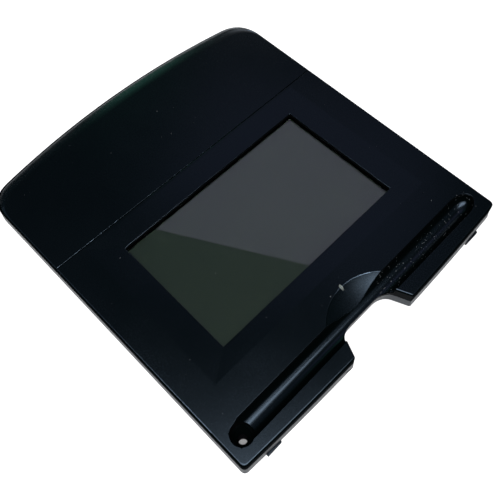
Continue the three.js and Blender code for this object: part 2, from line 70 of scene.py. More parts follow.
DECK = housing_high.z
CASE_BOTTOM = case_low.z
GAP = 0.3
FIT = 0.2
PARTING = case_high.z + GAP
WALL = 2.2
FLOOR_TOP = CASE_BOTTOM + 2
CEILING = DECK - WALL
CAVITY_BOTTOM = PARTING - 1
# How far a joined body runs into its neighbour, how far a cutter runs past a face or past the front and
# back, and a half width that clears the whole pad.
OVERLAP = 0.5
PAST = 1
RUN_OUT = 5
BEYOND = 200

FRONT_Y = -96
BACK_Y = cover_high.y
FRONT_HALF_WIDTH = 83.7
SIDE_TAPER = 0.0163
FRONT_BOW_RADIUS = 1615
BACK_ARC_RADIUS = 415
FRONT_CORNER = 2.4
BACK_CORNER = 12
INNER_CORNER_LOSS = WALL - 0.6
EDGE_RADIUS = 1
ROLL_LENGTH = 12
FLARE = 1.1
FLARE_TOP = PARTING - 0.6
WALL_DRAFT = 0.35
BACK_DRAFT = 0.15
UNDER_CHAMFER = 0.7
# Heights of the cavity's levels as shares of its rise, and how much of the skin's roll it follows.
CAVITY_SHARES = (0, 0.3, 0.6, 0.8, 0.93, 1)
CAVITY_ROLL = 0.9

LIP = {"half_x": 75, "root": 3, "length": 4, "thickness": 1.2}
SEAM_Y = housing_high.y - LIP["length"]
# The rim of the bottom case inside the parting line, measured down and up from that line.
TONGUE = {"root": 2, "foot": 1.5, "rise": 0.9, "thickness": 1}

WINDOW = {"half_x": 56, "y0": -52.9, "y1": 14.3}
FRAME = {"half_x": 69.4, "y0": -62.4, "y1": 26.4}
FRAME_DEPTH = 0.7

TROUGH_Y = -83.3
TROUGH_RADIUS = 5.2
TROUGH_START = -72.2
TROUGH_LEAD = {"length": 4.2, "drop": 1.25}
NOSE_START = 70
NOSE_LENGTH = 9.3
LINING = 1.6
LINING_HALF_X = 82
WELL = {
    "x": -75.1,
    "y": -83.9,
    "radius": 5,
    "funnel_top": 6.6,
    "funnel_bottom": 5.4,
    "funnel_radius": 3.2,
    "lining_rise": 4,
}
DRAIN = {"x": -75.75, "y": -84.55, "case_x": -76.75, "case_y": -85.75, "radius": 2.05}
DISH = {"x": -0.5, "y": -96.9, "rim": 26.5, "sphere": 54.2, "margin": 6}
NOTCH = {"x": -0.7, "front": 19.5, "shoulder": 16.3, "shoulder_y": -88.6, "inner": 8, "inner_y": -84.2}
NOTCH_SWEEP = {"rise": 3.2, "lean": 1.6, "run": 3.2}
NOTCH_WALL = 2
NICK = {"x": -0.25, "y": -70.6, "half_x": 0.6, "half_y": 1.5, "turn": -4, "half_split": 0.13}

CASE_SCREWS = [(75, -70), (75, 12), (56, 78)]
BOARD_SCREWS = [(x, y) for x in (-40, 40) for y in (38, 78)]
BOSS = {"radius": 3.6, "bore": 1.6, "counterbore": 3, "upper_radius": 3.2}
SCREW = {"shank": 1.25, "seat": 5.5, "tip": 11.2}
SMALL_SCREW = {"shank": 0.95, "tip": 4.9}
BOARD_POST_RADIUS = 2.6
PEDESTAL_TOP = 3.4
PEDESTAL_DEPTH = 4

# Fineness of round surfaces.
RODS = 96
POSTS = 48
CORNER_STEPS = 10
ARC_STEPS = 28
BOW_STEPS = 6
ROLL_STEPS = 22
DISH_RINGS = 36
CURVE_STEPS = 22

# ---- Mesh work ----------------------------------------------------------------------------------

SURFACE = "surface"
surface_ids = {}


def surface_id(name):
    """The number that stands for a surface's name in a mesh."""
    return surface_ids.setdefault(name, len(surface_ids) + 1)


def mesh_of(points, faces, names):
    """A mesh whose faces carry the name of the surface that they belong to."""
    mesh = bpy.data.meshes.new("solid")
    mesh.from_pydata(points, [], faces)
    if isinstance(names, str):
        names = [names] * len(faces)
    ids = mesh.attributes.new(SURFACE, "INT", "FACE")
    ids.data.foreach_set("value", [surface_id(name) for name in names])
    return mesh


def combine(body, tool, operation):
    """Joins, cuts or intersects two meshes and removes both."""
    carrier = bpy.data.objects.new("carrier", body)
    cutter = bpy.data.objects.new("cutter", tool)
    for item in (carrier, cutter):
        bpy.context.scene.collection.objects.link(item)
    modifier = carrier.modifiers.new("combine", "BOOLEAN")
    modifier.operation = operation
    modifier.solver = "MANIFOLD"
    modifier.object = cutter
    depsgraph = bpy.context.evaluated_depsgraph_get()
    result = bpy.data.meshes.new_from_object(carrier.evaluated_get(depsgraph))
    for item in (carrier, cutter):
        bpy.data.objects.remove(item)
    for mesh in (body, tool):
        bpy.data.meshes.remove(mesh)
    return result


def join(body, *tools):
    for tool in tools:
        body = combine(body, tool, "UNION")
    return body


def cut(body, *tools):
    for tool in tools:
        body = combine(body, tool, "DIFFERENCE")
    return body


def common(body, tool):
    return combine(body, tool, "INTERSECT")


def loft(levels, name, side_names=None):
    """A closed body through levels, each a height and an outline; all outlines have as many points."""
    count = len(levels[0][1])
    points = [(x, y, z) for z, ring in levels for x, y in ring]
    faces = [tuple(reversed(range(count)))]
    names = [name]
    for level in range(len(levels) - 1):
        for i in range(count):
            here, after = level * count + i, level * count + (i + 1) % count
            faces.append((here, after, after + count, here + count))
            names.append(side_names(level, i) if side_names else name)
    top = (len(levels) - 1) * count
    faces.append(tuple(range(top, top + count)))
    names.append(name)
    return mesh_of(points, faces, names)


def rectangle(x0, x1, y0, y1):
    return [(x0, y0), (x1, y0), (x1, y1), (x0, y1)]


def block(x0, x1, y0, y1, z0, z1, name):
    ring = rectangle(x0, x1, y0, y1)
    return loft([(z0, ring), (z1, ring)], name)


def circle(x, y, radius, sides=RODS):
    angles = [2 * math.pi * i / sides for i in range(sides)]
    return [(x + radius * math.cos(a), y + radius * math.sin(a)) for a in angles]


def post(x, y, radius, z0, z1, name):
    ring = circle(x, y, radius, POSTS)
    return loft([(z0, ring), (z1, ring)], name)


def lathe(profile, name, sides=RODS):
    """A body turned about Z from (radius, height) pairs that start and end on the axis."""
    points = [(0, 0, profile[0][1])]
    faces = []
    inner = profile[1:-1]
    for radius, height in inner:
        points += [(x, y, height) for x, y in circle(0, 0, radius, sides)]
    points.append((0, 0, profile[-1][1]))
    last = len(points) - 1
    for i in range(sides):
        after = (i + 1) % sides
        faces.append((0, 1 + after, 1 + i))
        for ring in range(len(inner) - 1):
            a, b = 1 + ring * sides + i, 1 + ring * sides + after
            faces.append((a, b, b + sides, a + sides))
        end = 1 + (len(inner) - 1) * sides
        faces.append((end + i, end + after, last))
    return mesh_of(points, faces, name)


def bezier(points, steps):
    """Points along a Bezier curve of any degree, by repeated halving of its control polygon."""
    curve = []
    for i in range(steps + 1):
        share = i / steps
        row = [Vector(p) for p in points]
        while len(row) > 1:
            row = [a.lerp(b, share) for a, b in zip(row, row[1:])]
        curve.append(tuple(row[0]))
    return curve


# ---- Outline of the case ------------------------------------------------------------------------


def outline(inset, back_inset, corner_loss=0.0):
    """The plan outline, with each wall moved in by its inset."""

    def front_y(x):
        return FRONT_Y + inset + x * x / (2 * FRONT_BOW_RADIUS)

    def back_y(x):
        return BACK_Y - back_inset - x * x / (2 * BACK_ARC_RADIUS)

    def half_width(y):
        return FRONT_HALF_WIDTH + SIDE_TAPER * (y - FRONT_Y) - inset

    front_x = half_width(FRONT_Y)
    back_x = half_width(back_y(FRONT_HALF_WIDTH))
    front_corner = (front_x, front_y(front_x))
    back_corner = (back_x, back_y(back_x))
    front_radius = FRONT_CORNER - corner_loss
    back_radius = BACK_CORNER - corner_loss

    bow_end = front_x - front_radius
    right = [(bow_end * i / BOW_STEPS, front_y(bow_end * i / BOW_STEPS)) for i in range(BOW_STEPS)]
    side_y = front_corner[1] + front_radius
    front_curve = [(bow_end, front_y(bow_end)), front_corner, (half_width(side_y), side_y)]
    right += bezier(front_curve, CORNER_STEPS)
    side_y = back_corner[1] - back_radius
    arc_start = back_x - back_radius
    back_curve = [(half_width(side_y), side_y), back_corner, (arc_start, back_y(arc_start))]
    right += bezier(back_curve, CORNER_STEPS)
    for i in range(1, ARC_STEPS + 1):
        x = arc_start * (1 - i / ARC_STEPS)
        right.append((x, back_y(x)))
    left = [(-x, y) for x, y in right[1:-1]]
    return right + left[::-1]


def roll_inset(share):
    """How far the rolled back edge has moved in at a share of the upper shell's height."""
    return ROLL_LENGTH * (1 - math.sqrt(max(0.0, 1 - share * share)))


def edge_inset(z):
    """The wall's inset at a height, with its draft and the rounded top edge."""
    rise = max(0.0, z - (DECK - EDGE_RADIUS))
    rounded = EDGE_RADIUS - math.sqrt(max(0.0, EDGE_RADIUS * EDGE_RADIUS - rise * rise))
    return rounded - WALL_DRAFT * (DECK - z) / (DECK - PARTING)


def upper_skin():
    levels = []
    for step in range(ROLL_STEPS + 1):
        share = math.sin(step / ROLL_STEPS * math.pi / 2)
        z = PARTING + share * (DECK - PARTING)
        levels.append((z, outline(edge_inset(z), roll_inset(share))))
    return loft(levels, "skin")


def upper_cavity():
    levels = [(CAVITY_BOTTOM, outline(WALL, WALL, INNER_CORNER_LOSS))]
    for share in CAVITY_SHARES:
        z = PARTING + share * (CEILING - PARTING)
        back_inset = WALL + roll_inset(share) * CAVITY_ROLL
        levels.append((z, outline(WALL, back_inset, INNER_CORNER_LOSS)))
    return loft(levels, "inside")


def lower_skin():
    chamfer = UNDER_CHAMFER - FLARE
    return loft(
        [
            (CASE_BOTTOM, outline(chamfer, UNDER_CHAMFER)),
            (CASE_BOTTOM + UNDER_CHAMFER, outline(-FLARE, BACK_DRAFT)),
            (FLARE_TOP, outline(-WALL_DRAFT, BACK_DRAFT)),
            (PARTING - GAP, outline(-WALL_DRAFT, BACK_DRAFT)),
        ],
        "under",
        lambda level, _: ("chamfer", "flare", "strip")[level],
    )


def lower_cavity():
    ring = outline(WALL, WALL, INNER_CORNER_LOSS)
    return loft([(FLOOR_TOP, ring), (PARTING + PAST, ring)], "inside")


# ---- Trough, well, dish and notch ---------------------------------------------------------------


def trough_body(radius, name):
    """A pen-shaped rod along the trough, round-nosed at its right end."""
    nose = NOSE_LENGTH + radius - TROUGH_RADIUS
    lead = TROUGH_START - TROUGH_LEAD["length"]
    profile = [(0, lead), (radius - TROUGH_LEAD["drop"], lead)]
    profile += [(radius, TROUGH_START), (radius, NOSE_START)]
    for step in range(1, CURVE_STEPS):
        angle = step / CURVE_STEPS * math.pi / 2
        profile.append((radius * math.cos(angle), NOSE_START + nose * math.sin(angle)))
    profile.append((0, NOSE_START + nose))
    body = lathe(profile, name)
    body.transform(Matrix.Translation((0, TROUGH_Y, DECK)) @ Matrix.Rotation(math.pi / 2, 4, "Y"))
    return body


def dish_cap(extra, name):
    """A cap of a sphere that reaches the middle of the trough and stops there."""
    centre_z = DECK + math.sqrt(DISH["sphere"] ** 2 - DISH["rim"] ** 2)
    radius = DISH["sphere"] + extra
    reach = DISH["rim"] + DISH["margin"]
    profile = [(0, centre_z - radius)]
    for ring in range(1, DISH_RINGS + 1):
        r = reach * ring / DISH_RINGS
        profile.append((r, centre_z - math.sqrt(radius * radius - r * r)))
    profile.append((0, profile[-1][1]))
    cap = lathe(profile, name, 2 * RODS)
    cap.transform(Matrix.Translation((DISH["x"], DISH["y"], 0)))
    return common(cap, block(-BEYOND, BEYOND, TROUGH_Y, 0, 0, BEYOND, name))


def notch_body(grow, z0, z1, name):
    """The finger notch in the front edge, with S-curved sides."""
    front = FRONT_Y - RUN_OUT
    inner = NOTCH["inner_y"] + grow
    slope = (NOTCH["front"] - NOTCH["shoulder"]) / (NOTCH["shoulder_y"] - FRONT_Y)
    front_x = NOTCH["shoulder"] + slope * (NOTCH["shoulder_y"] - front) + grow
    shoulder_x = NOTCH["shoulder"] + grow
    curve = [
        (shoulder_x, NOTCH["shoulder_y"]),
        (shoulder_x - NOTCH_SWEEP["lean"], NOTCH["shoulder_y"] + NOTCH_SWEEP["rise"]),
        (NOTCH["inner"] + NOTCH_SWEEP["run"] + grow, inner),
        (NOTCH["inner"], inner),
    ]
    right = [(front_x, front)] + bezier(curve, CURVE_STEPS)
    ring = [(NOTCH["x"] + x, y) for x, y in right]
    ring += [(NOTCH["x"] - x, y) for x, y in right[::-1]]
    return loft([(z0, ring), (z1, ring)], name)


def well_cutter():
    """The well with its funnel, and the part of the drain in the upper shell."""
    profile = [(0, WELL["funnel_bottom"]), (WELL["funnel_radius"], WELL["funnel_bottom"])]
    profile += [(WELL["radius"], WELL["funnel_top"]), (WELL["radius"], DECK + PAST), (0, DECK + PAST)]
    well = lathe(profile, "well")
    well.transform(Matrix.Translation((WELL["x"], WELL["y"], 0)))
    drain_top = WELL["funnel_bottom"] + OVERLAP
    return join(well, post(DRAIN["x"], DRAIN["y"], DRAIN["radius"], FLOOR_TOP, drain_top, "drain"))


def case_drain_cutter():
    """The drain through the bottom, which isn't quite in line with the one above it."""
    x, y = DRAIN["case_x"], DRAIN["case_y"]
    return post(x, y, DRAIN["radius"], CASE_BOTTOM - PAST, FLOOR_TOP + OVERLAP, "drain")


def window_cutter():
    """The display's opening, and the sloping picture frame around it with each facet named."""
    window = rectangle(-WINDOW["half_x"], WINDOW["half_x"], WINDOW["y0"], WINDOW["y1"])
    picture = rectangle(-FRAME["half_x"], FRAME["half_x"], FRAME["y0"], FRAME["y1"])
    levels = [(CEILING - PAST, window), (DECK - FRAME_DEPTH, window), (DECK, picture), (DECK + PAST, picture)]
    return loft(levels, "window", lambda level, i: "window" if level == 0 else f"facet_{i}")


# ---- Shells -------------------------------------------------------------------------------------


def on_both_sides(places):
    return [(side * x, y) for x, y in places for side in (-1, 1)]


def upper_shell():
    """The whole top shell, before it is parted at the seam."""
    lowest = FLOOR_TOP + GAP
    room = block(-BEYOND, BEYOND, -BEYOND, BEYOND, lowest, DECK, "inside")
    lining = join(trough_body(TROUGH_RADIUS + LINING, "inside"), dish_cap(LINING, "inside"))
    half_x = LINING_HALF_X
    below = block(-half_x, half_x, FRONT_Y + WALL, SEAM_Y, lowest, PARTING + PAST, "inside")
    lining = common(common(lining, join(upper_skin(), below)), room)
    notch_lining = common(notch_body(NOTCH_WALL, PARTING, DECK, "inside"), upper_skin())
    shell = join(cut(upper_skin(), upper_cavity()), lining, notch_lining)
    well_radius, well_top = WELL["radius"] + LINING, PARTING + WELL["lining_rise"]
    shell = join(shell, post(WELL["x"], WELL["y"], well_radius, lowest, well_top, "inside"))
    for x, y in on_both_sides(CASE_SCREWS):
        shell = join(shell, post(x, y, BOSS["upper_radius"], PARTING + GAP, CEILING + OVERLAP, "inside"))
        shell = cut(shell, post(x, y, SCREW["shank"] + FIT, PARTING - PAST, SCREW["tip"] + GAP, "inside"))
    return cut(
        shell,
        window_cutter(),
        trough_body(TROUGH_RADIUS, "trough"),
        dish_cap(0, "dish"),
        well_cutter(),
        notch_body(0, 0, DECK + PAST, "notch"),
    )


def socket_opening():
    """Room for the cable socket, open to the back."""
    low, high = socket_low, socket_high
    x0, x1 = low.x - GAP, high.x + GAP
    return block(x0, x1, low.y, BACK_Y + RUN_OUT, low.z - GAP, high.z + GAP, "opening")


def display_housing():
    """The part of the top shell before the seam, with the lip that reaches under the rear cover."""
    before_seam = block(-BEYOND, BEYOND, -BEYOND, SEAM_Y - GAP / 2, 0, BEYOND, "seam")
    lip_bottom = CEILING - LIP["thickness"] - GAP
    half_x, front, back = LIP["half_x"], SEAM_Y - LIP["root"], SEAM_Y + LIP["length"]
    under_seam = block(-half_x, half_x, front, back, lip_bottom, CEILING - GAP, "inside")
    lip_root = block(-half_x, half_x, front, SEAM_Y - GAP, lip_bottom, CEILING + OVERLAP, "inside")
    return join(common(upper_shell(), before_seam), under_seam, lip_root)


def rear_cover():
    behind_seam = block(-BEYOND, BEYOND, SEAM_Y + GAP / 2, BEYOND, 0, BEYOND, "seam")
    return cut(common(upper_shell(), behind_seam), socket_opening())


def tongue():
    """The rim of the bottom case that stands inside the upper shell and closes the parting line."""
    thickness = TONGUE["thickness"]
    seat = outline(WALL - OVERLAP, WALL - OVERLAP, INNER_CORNER_LOSS)
    outer = outline(WALL + FIT, WALL + 2 * FIT, INNER_CORNER_LOSS)
    inner = outline(WALL + FIT + thickness, WALL + 2 * FIT + thickness, INNER_CORNER_LOSS)
    root = loft([(PARTING - TONGUE["root"], seat), (PARTING - GAP - FIT, seat)], "inside")
    rim = loft([(PARTING - TONGUE["foot"], outer), (PARTING + TONGUE["rise"], outer)], "inside")
    low, high = PARTING - TONGUE["root"] - PAST, PARTING + 2 * PAST
    room = loft([(low, inner), (high, inner)], "inside")
    return cut(join(root, rim), room, notch_body(NOTCH_WALL + GAP, PARTING - GAP, DECK, "inside"))


def bottom_case():
    """The lower shell with its bosses and posts, the feet's pedestals and room for the top shell's well."""
    shell = join(cut(lower_skin(), lower_cavity()), tongue())
    notch_lining = common(notch_body(NOTCH_WALL, CASE_BOTTOM, PARTING - GAP, "inside"), lower_skin())
    shell = join(shell, notch_lining)
    for side in (-1, 1):
        x0, x1 = sorted((side * foot_low.x, side * foot_high.x))
        y0, y1 = foot_low.y, foot_low.y + PEDESTAL_DEPTH
        shell = join(shell, block(x0, x1, y0, y1, CASE_BOTTOM, PEDESTAL_TOP, "pedestal"))
    for x, y in on_both_sides(CASE_SCREWS):
        shell = join(shell, post(x, y, BOSS["radius"], CASE_BOTTOM + FIT, PARTING - FIT, "inside"))
        shell = cut(
            shell,
            post(x, y, BOSS["bore"], CASE_BOTTOM, PARTING + PAST, "bore"),
            post(x, y, BOSS["counterbore"], CASE_BOTTOM - PAST, SCREW["seat"], "counterbore"),
        )
    bore, bore_bottom = SMALL_SCREW["shank"] + FIT, SMALL_SCREW["tip"] - GAP
    for x, y in BOARD_SCREWS:
        shell = join(shell, post(x, y, BOARD_POST_RADIUS, FLOOR_TOP - OVERLAP, board_low.z - FIT, "inside"))
        shell = cut(shell, post(x, y, bore, bore_bottom, board_low.z + PAST, "inside"))
    well_room = WELL["radius"] + LINING + GAP
    return cut(
        shell,
        trough_body(TROUGH_RADIUS + LINING + GAP, "inside"),
        post(WELL["x"], WELL["y"], well_room, FLOOR_TOP, PARTING + PAST, "inside"),
        case_drain_cutter(),
        notch_body(0, 0, DECK + PAST, "notch"),
        socket_opening(),
    )


# ---- Finished pieces ----------------------------------------------------------------------------

# Edges are creases or bevels above these angles; between two named surfaces, smaller ones will do.
CREASE_ANGLE = math.radians(30)
TAGGED_CREASE = math.radians(1.5)
TAGGED_BEVEL = math.radians(11)
MERGE = 0.004
# The bevel of the notch's upper rim, and the share of it that the other outside edges get.
NOTCH_ROUND = 0.8
SMALL_ROUND = 0.28
UPPER_RIM_FROM = PARTING + 1
BEVEL_SEGMENTS = 3
NORMALS_WEIGHT = 100


def mark_edges(mesh):
    """Marks creases sharp, and gives a bevel weight to the outside edges that a mould would round."""
    solid = bmesh.new()
    solid.from_mesh(mesh)
    bmesh.ops.remove_doubles(solid, verts=solid.verts, dist=MERGE)
    bmesh.ops.dissolve_degenerate(solid, dist=MERGE, edges=solid.edges)
    tags = solid.faces.layers.int[SURFACE]
    weights = solid.edges.layers.float.new("bevel_weight_edge")
    inside = surface_id("inside")
    notch = surface_id("notch")
    for edge in solid.edges:
        if len(edge.link_faces) != 2:
            continue
        pair = {face[tags] for face in edge.link_faces}
        angle = edge.calc_face_angle(0)
        between = len(pair) > 1
        edge.smooth = not (angle > CREASE_ANGLE or (between and angle > TAGGED_CREASE))
        if inside not in pair and (angle > CREASE_ANGLE or (between and angle > TAGGED_BEVEL)):
            lowest = min(vertex.co.z for vertex in edge.verts)
            upper_rim = notch in pair and lowest > UPPER_RIM_FROM
            edge[weights] = 1 if upper_rim else SMALL_ROUND
    for face in solid.faces:
        face.smooth = True
    solid.to_mesh(mesh)
    solid.free()


def add_shell(mesh, name, slot, node):
    """Places a finished mesh as the piece that stands for a CAD node."""
    mesh.transform(Matrix.Scale(MM, 4))
    mesh.name = name
    piece = bpy.data.objects.new(name, mesh)
    bpy.context.scene.collection.objects.link(piece)
    mesh.materials.clear()
    mesh.materials.append(MATERIALS[slot])
    rounding = piece.modifiers.new("rounding", "BEVEL")
    rounding.limit_method = "WEIGHT"
    rounding.width = NOTCH_ROUND * MM
    rounding.segments = BEVEL_SEGMENTS
    rounding.use_clamp_overlap = False
    rounding.miter_outer = "MITER_ARC"
    normals = piece.modifiers.new("normals", "WEIGHTED_NORMAL")
    normals.keep_sharp = True
    normals.weight = NORMALS_WEIGHT
    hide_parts(node)
    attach(piece, "pad")


# ---- Materials ----------------------------------------------------------------------------------


def fill_ramp(node, stops):
    """Gives a new colour ramp its stops, each a position and a colour."""
    elements = node.color_ramp.elements
    while len(elements) < len(stops):
        elements.new(0.5)
    for element, (position, color) in zip(elements, stops):
        element.position = position
        element.color = (*color, 1)


class Look:
    """A node material on one Principled shader, with object coordinates in metres."""

    def __init__(self, name, **settings):
        self.material = bpy.data.materials.new(name)
        self.material.use_nodes = True
        self.tree = self.material.node_tree
        self.shader = self.tree.nodes["Principled BSDF"]
        self.place = self.tree.nodes.new("ShaderNodeTexCoord").outputs["Object"]
        for key, value in settings.items():
            socket = key.replace("_", " ").title().replace("Ior", "IOR")
            self.shader.inputs[socket].default_value = value

    def node(self, kind, inputs=None, **settings):
        """A node with its settings, its inputs linked or set."""
        made = self.tree.nodes.new(kind)
        for key, value in settings.items():
            setattr(made, key, value)
        for key, value in (inputs or {}).items():
            if isinstance(value, bpy.types.NodeSocket):
                self.tree.links.new(value, made.inputs[key])
            else:
                made.inputs[key].default_value = value
        return made

    def noise(self, size_mm, detail=2.0, place=None):
        inputs = {"Vector": place or self.place, "Scale": 1 / (size_mm * MM), "Detail": detail}
        return self.node("ShaderNodeTexNoise", inputs).outputs["Fac"]

    def spread(self, value, low, high, start=0.0, end=1.0):
        """Maps start..end of a value to low..high."""
        inputs = {"Value": value, "From Min": start, "From Max": end, "To Min": low, "To Max": high}
        return self.node("ShaderNodeMapRange", inputs).outputs["Result"]

    def math(self, operation, a, b=0.0):
        return self.node("ShaderNodeMath", {0: a, 1: b}, operation=operation).outputs[0]

    def product(self, value, *others):
        for other in others:
            value = self.math("MULTIPLY", value, other)
        return value

    def inverse(self, value):
        return self.math("SUBTRACT", 1.0, value)

    def coordinates(self, place=None):
        """The X, Y and Z of a place in metres, the part's own place if none is given."""
        return self.node("ShaderNodeSeparateXYZ", {"Vector": place or self.place}).outputs

    def flatness(self):
        """How squarely the surface faces up or down: one on a flat, nought on a wall."""
        facing = self.node("ShaderNodeTexCoord").outputs["Normal"]
        return self.math("ABSOLUTE", self.coordinates(facing)["Z"])

    def grey_ramp(self, value, stops):
        return self.ramp(value, [(position, (level, level, level)) for position, level in stops])

    def ramp(self, value, stops):
        made = self.node("ShaderNodeValToRGB", {"Fac": value})
        fill_ramp(made, stops)
        return made.outputs["Color"]

    def mix(self, share, a, b):
        made = self.node("ShaderNodeMix", data_type="RGBA")
        for index, value in ((0, share), (6, a), (7, b)):
            if isinstance(value, bpy.types.NodeSocket):
                self.tree.links.new(value, made.inputs[index])
            elif index:
                made.inputs[index].default_value = (*value, 1)
            else:
                made.inputs[index].default_value = value
        return made.outputs[2]

    def set(self, socket, value):
        self.tree.links.new(value, self.shader.inputs[socket])

    def bump(self, height, distance_mm, strength=1.0):
        inputs = {"Height": height, "Distance": distance_mm * MM, "Strength": strength}
        self.set("Normal", self.node("ShaderNodeBump", inputs).outputs["Normal"])

    def near(self, centre, half_x, half_y):
        """One inside a rectangle in plan, and nought outside it; sizes in millimetres."""
        spots = self.coordinates()
        result = None
        for axis, middle, half in (("X", centre[0], half_x), ("Y", centre[1], half_y)):
            away = self.math("ABSOLUTE", self.math("SUBTRACT", spots[axis], middle * MM))
            inside = self.math("LESS_THAN", away, half * MM)
            result = self.product(result, inside) if result else inside
        return result

    def below(self, height_mm):
        return self.math("LESS_THAN", self.coordinates()["Z"], height_mm * MM)

    def specks(self, spacing_mm, radius_mm, share):
        """Round specks of uneven size, in a share of the cells of a grid with that spacing."""
        inputs = {"Vector": self.place, "Scale": 1 / (spacing_mm * MM)}
        cells = self.node("ShaderNodeTexVoronoi", inputs)
        parts = self.node("ShaderNodeSeparateColor", {"Color": cells.outputs["Color"]}).outputs
        radius = self.spread(parts["Green"], 0.3 * radius_mm / spacing_mm, radius_mm / spacing_mm)
        inside = self.math("LESS_THAN", cells.outputs["Distance"], radius)
        return self.product(inside, self.math("LESS_THAN", parts["Red"], share))


# The colour of the plastic's own shine.
SHEEN = (0.56, 0.76, 1.0)
# Specular level against flatness, for the top's textured faces, for its hollows and for the plain bottom.
TOP_GLOSS = ((0.885, 0.0), (0.925, 1.0), (0.985, 1.0), (0.997, 0.5))
HOLLOW_GLOSS = ((0.8, 0.0), (0.9, 0.78), (0.985, 0.78), (0.997, 0.4))
PLAIN_GLOSS = ((0.0, 0.3), (0.5, 0.3), (1.0, 0.5))
# The rubbed wall of the notch, and how many times glossier the worn edges are than the faces.
NOTCH_GLOSS = 0.05
EDGE_POLISH = 3
# Flatness below which a surface counts as a wall, and above which it counts as flat.
WALL_BELOW = 0.5
FLAT_ABOVE = 0.985

# Zones in plan, fitted to the bands of gloss in the photograph: a rectangle's middle and half sizes.
NOTCH_ZONE = ((NOTCH["x"], FRONT_Y - 2), NOTCH["front"], NOTCH["inner_y"] + 2.5 - FRONT_Y)
BEFORE_ROLL = ((0, 0), BEYOND, BACK_Y - ROLL_LENGTH - 9)
HOLLOW_ZONE = ((0, TROUGH_Y), BEYOND, 16)
HOLLOW_DEPTH = 0.2
FAR_RIM = ((DISH["x"] - 17, TROUGH_Y + 6.5), 13, 9)
SEAM_ZONE = ((0, SEAM_Y), BEYOND, 1)
LINT_ZONE = ((45, TROUGH_Y), 34, TROUGH_RADIUS)
WELL_ZONE = ((WELL["x"], WELL["y"]), WELL["radius"] - 1, WELL["radius"] - 1)
# The well is dull above this height, so that the underside keeps its own gloss.
WELL_DULL_FROM = CASE_BOTTOM + 0.2

# Painted sheen: the top's walls are given this lighter grey by their slope, in place of the light they would
# catch.
PAINTED_WALL_SHEEN = (0.008, 0.009, 0.010)
# Painted glint: the pale colour of the chip in the dish's rim.
NICK_GLINT_COLOR = (0.50, 0.55, 0.50)
DUST_COLOR = (0.35, 0.36, 0.38)


def top_shine(look, flatness):
    """The top's specular level: dull walls, a rubbed notch, worn edges, and hollows with their own gloss."""
    walls = look.math("LESS_THAN", flatness, WALL_BELOW)
    rubbed = look.product(look.near(*NOTCH_ZONE), walls, NOTCH_GLOSS)
    hollow = look.product(look.near(*HOLLOW_ZONE), look.below(DECK - HOLLOW_DEPTH))
    outside = look.inverse(hollow)
    shine = look.math("MAXIMUM", look.grey_ramp(flatness, TOP_GLOSS), rubbed)
    shine = look.product(shine, look.math("MAXIMUM", outside, rubbed))
    seam_gaps = look.product(look.near(*SEAM_ZONE), look.math("LESS_THAN", look.noise(2.5), 0.55))
    worn = look.product(
        look.near(*BEFORE_ROLL),
        outside,
        look.inverse(look.near(*FAR_RIM)),
        look.inverse(seam_gaps),
        look.math("LESS_THAN", flatness, FLAT_ABOVE),
    )
    shine = look.product(shine, look.spread(worn, 1, EDGE_POLISH))
    return look.math("MAXIMUM", shine, look.product(hollow, look.grey_ramp(flatness, HOLLOW_GLOSS)))


def nick_glint_mask(look):
    """The chip in the dish's rim, painted pale where it catches a glint: a ragged oval with a split down its
    middle.
    """
    inputs = {
        "Vector": look.place,
        "Location": (NICK["x"] * MM, NICK["y"] * MM, DECK * MM),
        "Rotation": (0, 0, math.radians(NICK["turn"])),
    }
    turned = look.node("ShaderNodeMapping", inputs, vector_type="TEXTURE")
    spots = look.coordinates(turned.outputs["Vector"])
    shares = []
    for axis, half in (("X", NICK["half_x"]), ("Y", NICK["half_y"])):
        share = look.math("ABSOLUTE", look.math("DIVIDE", spots[axis], half * MM))
        shares.append(look.math("POWER", share, 2))
    ragged = look.spread(look.noise(0.6, 3), -1.2, 1.2)
    reach = look.math("ADD", look.math("ADD", *shares), ragged)
    split = look.math("GREATER_THAN", look.math("ABSOLUTE", spots["X"]), NICK["half_split"] * MM)
    return look.product(look.math("LESS_THAN", reach, 0.9), split)


def black_plastic(name, colors, roughness, grain_mm, grain_depth, dust, is_top):
    """Satin moulded ABS with a fine spark-eroded grain, slight cloudiness and a little dust."""
    look = Look(name)
    look.shader.inputs["Specular Tint"].default_value = (*SHEEN, 1)
    flatness = look.flatness()
    shine = top_shine(look, flatness) if is_top else look.grey_ramp(flatness, PLAIN_GLOSS)
    in_well = look.product(look.near(*WELL_ZONE), look.inverse(look.below(WELL_DULL_FROM)))
    look.set("Specular IOR Level", look.product(shine, look.inverse(in_well)))

    cloud = look.noise(45, 3)
    grain = look.noise(grain_mm, 3)
    fine = look.noise(grain_mm * 0.35, 1)
    color = look.ramp(cloud, [(0.3, colors[0]), (0.7, colors[1])])
    specks = look.math("MAXIMUM", look.specks(7, 0.21, dust), look.specks(2.6, 0.1, dust * 0.5))
    if is_top:
        lint = look.product(look.near(*LINT_ZONE), look.specks(0.9, 0.17, 0.45))
        specks = look.math("MAXIMUM", specks, lint)
        # Painted sheen on the walls: the steeper the face, the more of the lighter wall grey it takes.
        color = look.mix(look.spread(flatness, 1, 0, 0, 0.4), color, PAINTED_WALL_SHEEN)
        # Painted glint: the chip in the dish's rim is coloured pale.
        color = look.mix(nick_glint_mask(look), color, NICK_GLINT_COLOR)
    look.set("Base Color", look.mix(specks, color, DUST_COLOR))

    cloudy = look.spread(cloud, -0.03, 0.03, 0.3, 0.7)
    grainy = look.spread(grain, -0.04, 0.04, 0.3, 0.7)
    uneven = look.math("ADD", look.math("ADD", cloudy, grainy), roughness)
    look.set("Roughness", look.math("MAXIMUM", uneven, look.product(specks, 0.9)))
    look.bump(look.math("ADD", grain, look.product(fine, 0.4)), grain_depth)
    return look.material


